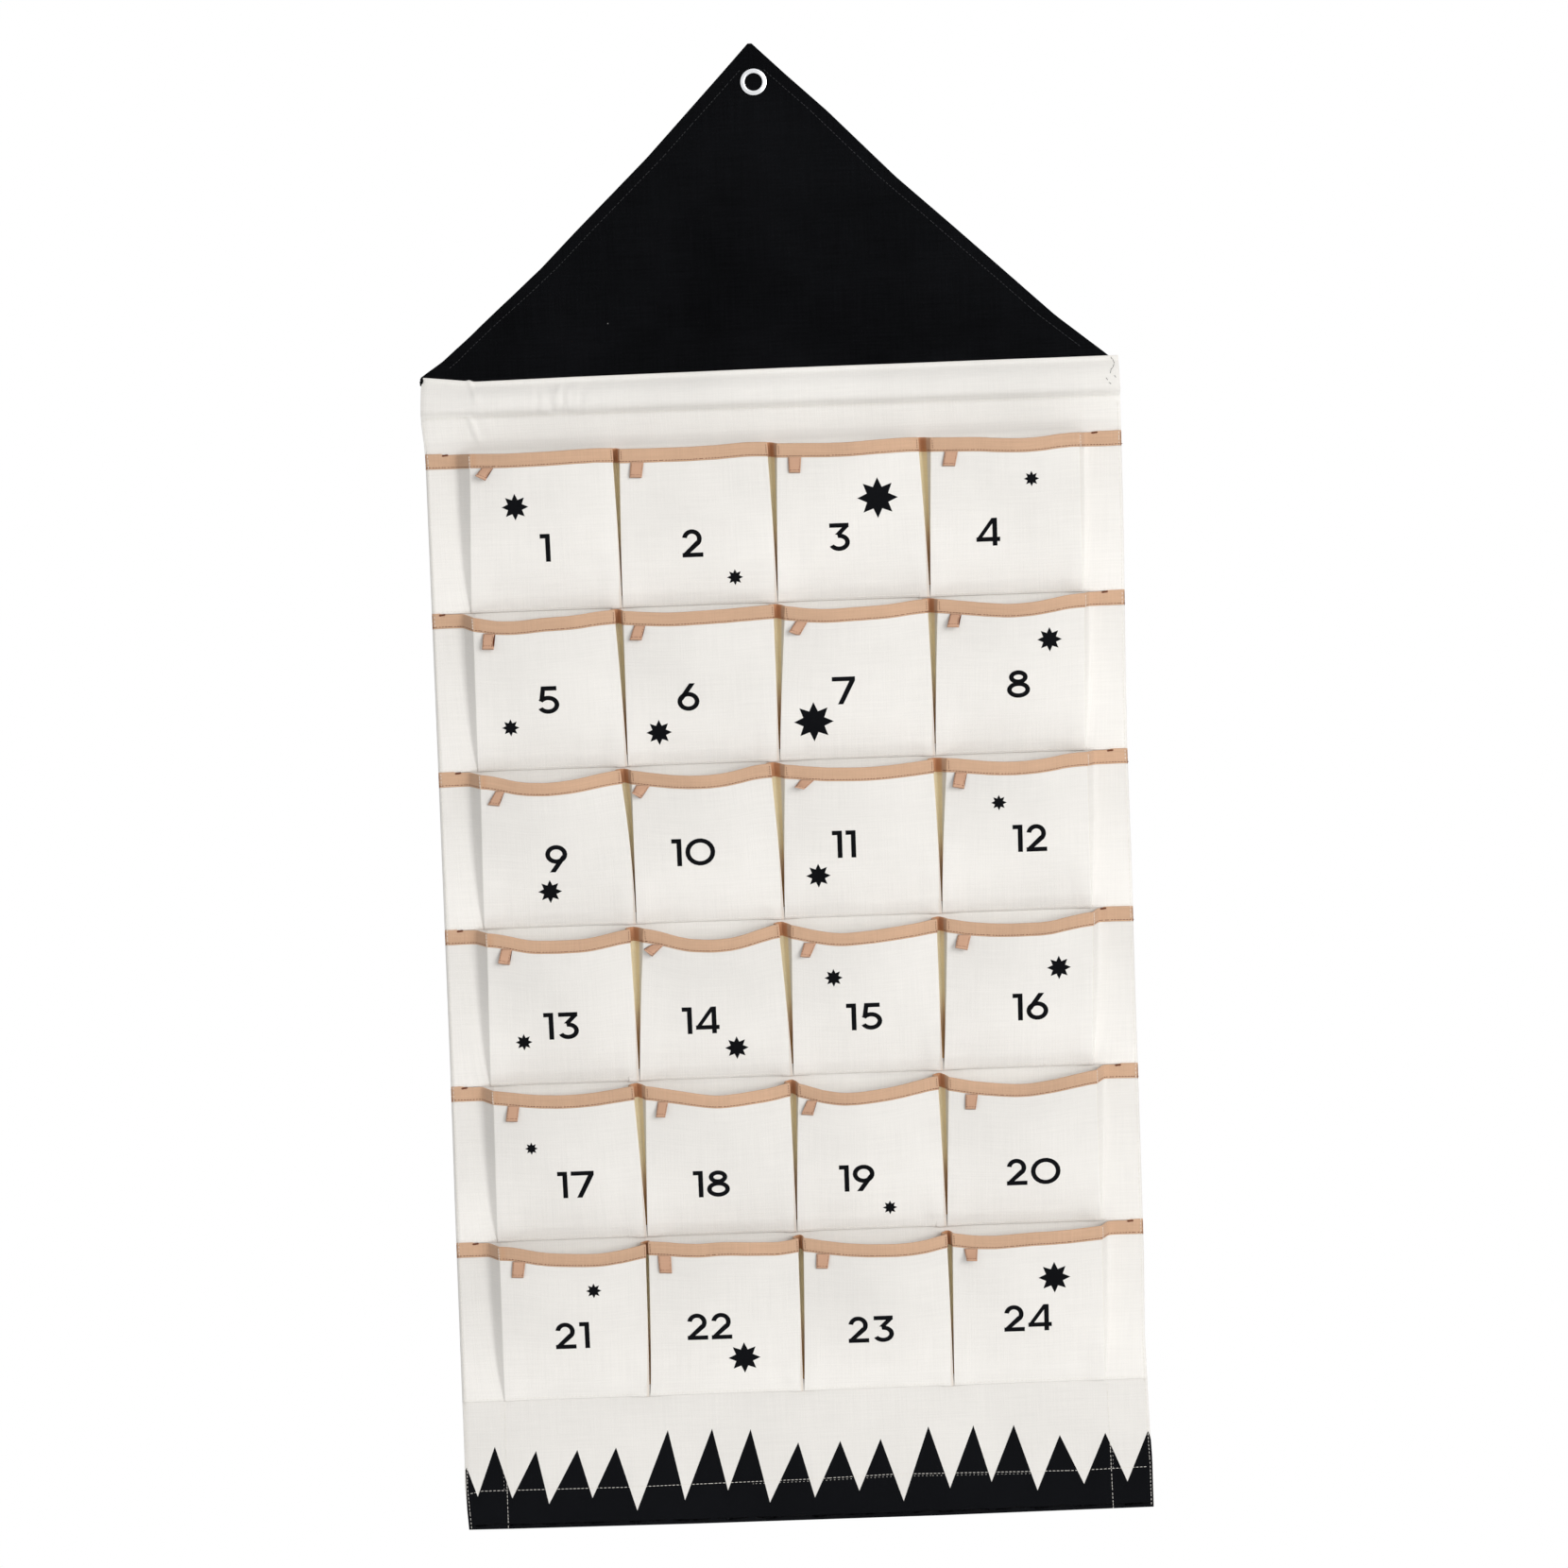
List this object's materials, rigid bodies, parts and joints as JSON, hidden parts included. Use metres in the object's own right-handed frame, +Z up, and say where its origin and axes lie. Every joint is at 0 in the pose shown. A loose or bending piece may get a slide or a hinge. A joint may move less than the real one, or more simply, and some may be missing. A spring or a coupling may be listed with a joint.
{
  "type": "pocket advent calendar",
  "caption": "House-shaped cloth wall hanging with rows of pleated, tape-edged pockets under a black roof, stiffened by a rod and hung by an eyelet.",
  "frame": {"origin": "middle of the hanging eyelet, in the plane of the cloth", "axes": "+Z up, +X to the viewer's right, pockets face -Y"},
  "size_m": [0.5, 0.0295, 1.0698],
  "materials": {
    "natural_canvas": "matt plain-weave cotton canvas, unbleached white",
    "black_canvas": "matt plain-weave cotton canvas, black",
    "tan_tape": "matt herringbone cotton tape, tan",
    "nickel": "polished nickel plate",
    "bare_wood": "bare round beech rod"
  },
  "bodies": {
    "roof": {"roof_panel": "black_canvas", "eyelet": "nickel", "eyelet_washer": "nickel"},
    "banner": {"back_panel": "natural_canvas", "pocket_strip_1": "natural_canvas", "pocket_strip_2": "natural_canvas", "pocket_strip_3": "natural_canvas", "pocket_strip_4": "natural_canvas", "pocket_strip_5": "natural_canvas", "pocket_strip_6": "natural_canvas", "binding_1": "tan_tape", "binding_2": "tan_tape", "binding_3": "tan_tape", "binding_4": "tan_tape", "binding_5": "tan_tape", "binding_6": "tan_tape"},
    "rod": {"hanging_rod": "bare_wood"},
    "tab_01": {"tab_01": "tan_tape"},
    "tab_02": {"tab_02": "tan_tape"},
    "tab_03": {"tab_03": "tan_tape"},
    "tab_04": {"tab_04": "tan_tape"},
    "tab_05": {"tab_05": "tan_tape"},
    "tab_06": {"tab_06": "tan_tape"},
    "tab_07": {"tab_07": "tan_tape"},
    "tab_08": {"tab_08": "tan_tape"},
    "tab_09": {"tab_09": "tan_tape"},
    "tab_10": {"tab_10": "tan_tape"},
    "tab_11": {"tab_11": "tan_tape"},
    "tab_12": {"tab_12": "tan_tape"},
    "tab_13": {"tab_13": "tan_tape"},
    "tab_14": {"tab_14": "tan_tape"},
    "tab_15": {"tab_15": "tan_tape"},
    "tab_16": {"tab_16": "tan_tape"},
    "tab_17": {"tab_17": "tan_tape"},
    "tab_18": {"tab_18": "tan_tape"},
    "tab_19": {"tab_19": "tan_tape"},
    "tab_20": {"tab_20": "tan_tape"},
    "tab_21": {"tab_21": "tan_tape"},
    "tab_22": {"tab_22": "tan_tape"},
    "tab_23": {"tab_23": "tan_tape"},
    "tab_24": {"tab_24": "tan_tape"}
  },
  "joints": [
    {"name": "roof_fold", "type": "hinge", "parent": "roof", "child": "banner", "pos_m": [0, 0, -0.2033], "axis": [1, 0, 0], "range_deg": [-150, 150]},
    {"name": "rod_slide", "type": "slide", "parent": "banner", "child": "rod", "axis": [1, 0, 0], "range_m": [-0.5, 0]},
    {"name": "tab_01_lift", "type": "hinge", "parent": "banner", "child": "tab_01", "pos_m": [-0.20148, -0.01993, -0.2681], "axis": [-0.9994, 0, 0.0357], "range_deg": [0, 150]},
    {"name": "tab_02_lift", "type": "hinge", "parent": "banner", "child": "tab_02", "pos_m": [-0.09332, -0.01978, -0.26842], "axis": [-0.9989, 0, 0.0473], "range_deg": [0, 150]},
    {"name": "tab_03_lift", "type": "hinge", "parent": "banner", "child": "tab_03", "pos_m": [0.01927, -0.01994, -0.26839], "axis": [-0.9992, 0, 0.0396], "range_deg": [0, 150]},
    {"name": "tab_04_lift", "type": "hinge", "parent": "banner", "child": "tab_04", "pos_m": [0.1313, -0.02001, -0.2682], "axis": [-0.9994, 0, 0.0345], "range_deg": [0, 150]},
    {"name": "tab_05_lift", "type": "hinge", "parent": "banner", "child": "tab_05", "pos_m": [-0.20376, -0.01971, -0.3855], "axis": [-0.9828, 0, 0.1847], "range_deg": [0, 150]},
    {"name": "tab_06_lift", "type": "hinge", "parent": "banner", "child": "tab_06", "pos_m": [-0.09575, -0.01954, -0.38317], "axis": [-0.9948, 0, 0.1016], "range_deg": [0, 150]},
    {"name": "tab_07_lift", "type": "hinge", "parent": "banner", "child": "tab_07", "pos_m": [0.02024, -0.01995, -0.38525], "axis": [-0.9949, 0, 0.1009], "range_deg": [0, 150]},
    {"name": "tab_08_lift", "type": "hinge", "parent": "banner", "child": "tab_08", "pos_m": [0.13083, -0.02001, -0.38402], "axis": [-0.9917, 0, 0.1289], "range_deg": [0, 150]},
    {"name": "tab_09_lift", "type": "hinge", "parent": "banner", "child": "tab_09", "pos_m": [-0.2004, -0.02003, -0.49862], "axis": [-0.9825, 0, 0.1865], "range_deg": [0, 150]},
    {"name": "tab_10_lift", "type": "hinge", "parent": "banner", "child": "tab_10", "pos_m": [-0.09725, -0.01933, -0.49797], "axis": [-0.9785, 0, 0.2064], "range_deg": [0, 150]},
    {"name": "tab_11_lift", "type": "hinge", "parent": "banner", "child": "tab_11", "pos_m": [0.02017, -0.0199, -0.49876], "axis": [-0.9948, 0, 0.102], "range_deg": [0, 150]},
    {"name": "tab_12_lift", "type": "hinge", "parent": "banner", "child": "tab_12", "pos_m": [0.13082, -0.01991, -0.49869], "axis": [-0.9905, 0, 0.1378], "range_deg": [0, 150]},
    {"name": "tab_13_lift", "type": "hinge", "parent": "banner", "child": "tab_13", "pos_m": [-0.20028, -0.02004, -0.61404], "axis": [-0.9755, 0, 0.2201], "range_deg": [0, 150]},
    {"name": "tab_14_lift", "type": "hinge", "parent": "banner", "child": "tab_14", "pos_m": [-0.09142, -0.01977, -0.61487], "axis": [-0.9603, 0, 0.279], "range_deg": [0, 150]},
    {"name": "tab_15_lift", "type": "hinge", "parent": "banner", "child": "tab_15", "pos_m": [0.01808, -0.0197, -0.61621], "axis": [-0.9465, 0, 0.3228], "range_deg": [0, 150]},
    {"name": "tab_16_lift", "type": "hinge", "parent": "banner", "child": "tab_16", "pos_m": [0.12951, -0.01987, -0.61553], "axis": [-0.9825, 0, 0.1864], "range_deg": [0, 150]},
    {"name": "tab_17_lift", "type": "hinge", "parent": "banner", "child": "tab_17", "pos_m": [-0.19992, -0.02007, -0.72839], "axis": [-0.9924, 0, 0.123], "range_deg": [0, 150]},
    {"name": "tab_18_lift", "type": "hinge", "parent": "banner", "child": "tab_18", "pos_m": [-0.09228, -0.01971, -0.7291], "axis": [-0.9727, 0, 0.2321], "range_deg": [0, 150]},
    {"name": "tab_19_lift", "type": "hinge", "parent": "banner", "child": "tab_19", "pos_m": [0.01554, -0.01957, -0.73098], "axis": [-0.9115, 0, 0.4112], "range_deg": [0, 150]},
    {"name": "tab_20_lift", "type": "hinge", "parent": "banner", "child": "tab_20", "pos_m": [0.13078, -0.01996, -0.73117], "axis": [-0.9858, 0, 0.1679], "range_deg": [0, 150]},
    {"name": "tab_21_lift", "type": "hinge", "parent": "banner", "child": "tab_21", "pos_m": [-0.20064, -0.01997, -0.84191], "axis": [-0.9816, 0, 0.1909], "range_deg": [0, 150]},
    {"name": "tab_22_lift", "type": "hinge", "parent": "banner", "child": "tab_22", "pos_m": [-0.09466, -0.01972, -0.84109], "axis": [-0.9956, 0, 0.094], "range_deg": [0, 150]},
    {"name": "tab_23_lift", "type": "hinge", "parent": "banner", "child": "tab_23", "pos_m": [0.01981, -0.02002, -0.84425], "axis": [-0.9924, 0, 0.1228], "range_deg": [0, 150]},
    {"name": "tab_24_lift", "type": "hinge", "parent": "banner", "child": "tab_24", "pos_m": [0.12689, -0.01975, -0.84402], "axis": [-0.9852, 0, 0.1711], "range_deg": [0, 150]}
  ]
}
